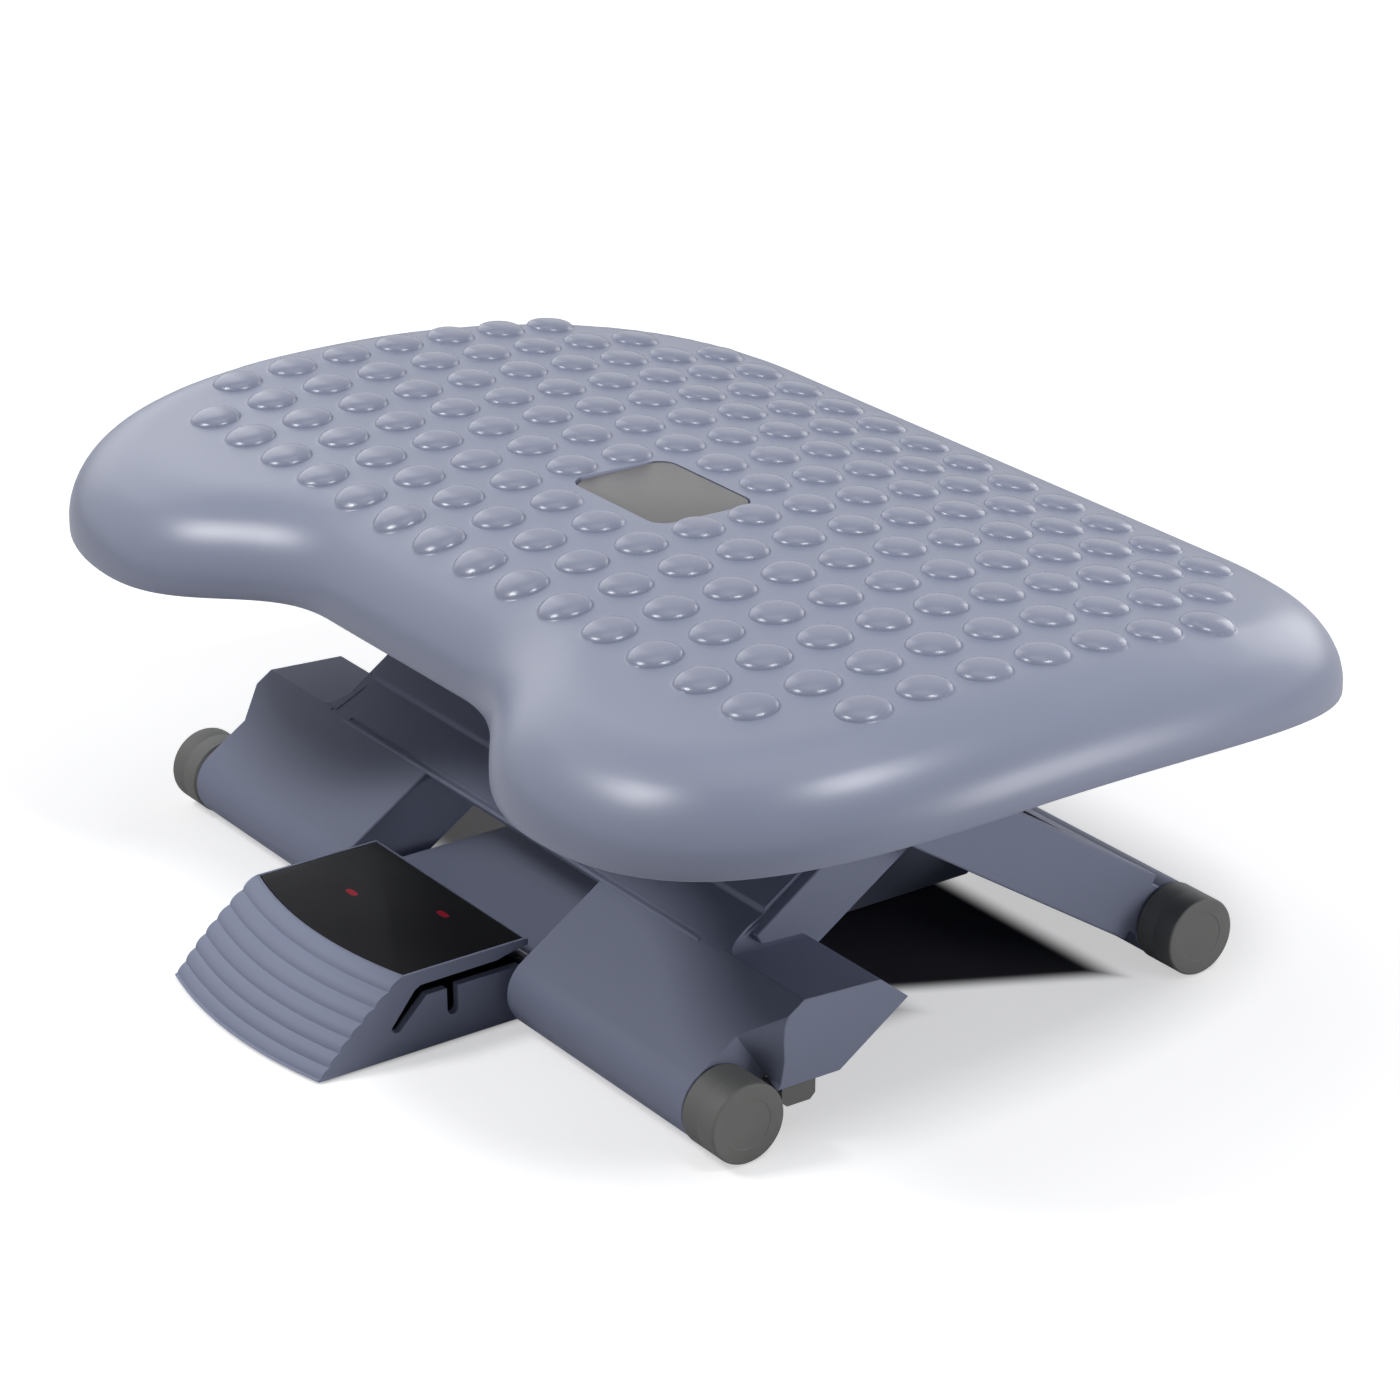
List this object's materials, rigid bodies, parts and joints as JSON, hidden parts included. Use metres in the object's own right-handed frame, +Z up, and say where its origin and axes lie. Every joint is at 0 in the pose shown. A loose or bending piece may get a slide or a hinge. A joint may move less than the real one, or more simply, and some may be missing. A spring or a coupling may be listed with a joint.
{
  "type": "adjustable footrest",
  "caption": "Adjustable under-desk footrest with a bumped massage platform that tilts, on a folding scissor stand with a toe pedal for height.",
  "frame": {"origin": "middle of the footprint box, on the floor", "axes": "+X across the footrest to the user's right, +Y from the pedal to the back, +Z up"},
  "size_m": [0.4512, 0.3402, 0.155],
  "materials": {
    "moulded_plastic": "fine-grained blue-grey moulding",
    "foot_rubber": "matt grey",
    "badge_plate": "satin warm grey, bare",
    "matt_label": "matt black",
    "steel": "zinc plated",
    "black_nylon": "smooth"
  },
  "bodies": {
    "rear_axle": {"rear_rod": "steel", "rear_cap_left": "foot_rubber", "rear_cap_right": "foot_rubber"},
    "rear_frame": {"rear_frame": "moulded_plastic", "glide_pin_left": "black_nylon", "glide_pin_right": "black_nylon", "pivot_pin_left": "steel", "pivot_pin_right": "steel", "pivot_washer_left": "black_nylon", "pivot_washer_right": "black_nylon"},
    "front_frame": {"front_frame": "moulded_plastic", "front_cap_left": "foot_rubber", "front_cap_right": "foot_rubber", "anti_slip_pad_left": "foot_rubber", "anti_slip_pad_right": "foot_rubber", "latch_rod": "steel", "rear_pivot_rod": "steel", "pivot_rod_clip_left": "steel", "pivot_rod_clip_right": "steel"},
    "cradle": {"cradle_rail_left": "moulded_plastic", "cradle_rail_right": "moulded_plastic", "cradle_rear_bar": "moulded_plastic", "cradle_front_sleeve": "steel", "tilt_rod": "steel", "tilt_rod_clip_left": "steel", "tilt_rod_clip_right": "steel", "bar_screw_lower_left": "steel", "bar_screw_lower_right": "steel", "bar_screw_upper_left": "steel", "bar_screw_upper_right": "steel"},
    "platform": {"platform_shell": "moulded_plastic", "badge_inlay": "badge_plate"},
    "pedal": {"pedal_bar": "moulded_plastic", "pedal_label": "matt_label"}
  },
  "joints": [
    {"name": "stand_height", "type": "hinge", "parent": "rear_axle", "child": "rear_frame", "pos_m": [0, 0.11717, 0.0138], "axis": [1, 0, 0], "range_deg": [0, 18.7]},
    {"name": "scissor_pivot", "type": "hinge", "parent": "rear_frame", "child": "front_frame", "pos_m": [0, 0.0174, 0.07884], "axis": [1, 0, 0], "range_deg": [-37.4, 0]},
    {"name": "cradle_pivot", "type": "hinge", "parent": "front_frame", "child": "cradle", "pos_m": [0, 0.08827, 0.12504], "axis": [1, 0, 0], "range_deg": [0, 18.7]},
    {"name": "platform_tilt", "type": "hinge", "parent": "cradle", "child": "platform", "pos_m": [0, -0.0895, 0.12899], "axis": [1, 0, 0], "range_deg": [0, 20]},
    {"name": "pedal_lift", "type": "hinge", "parent": "rear_axle", "child": "pedal", "pos_m": [0, 0.11717, 0.0138], "axis": [-1, 0, 0], "range_deg": [0, 2.4]}
  ],
  "couplings": [
    {"joint": "scissor_pivot", "follows": "stand_height", "ratio": -2},
    {"joint": "cradle_pivot", "follows": "stand_height", "ratio": 1}
  ]
}
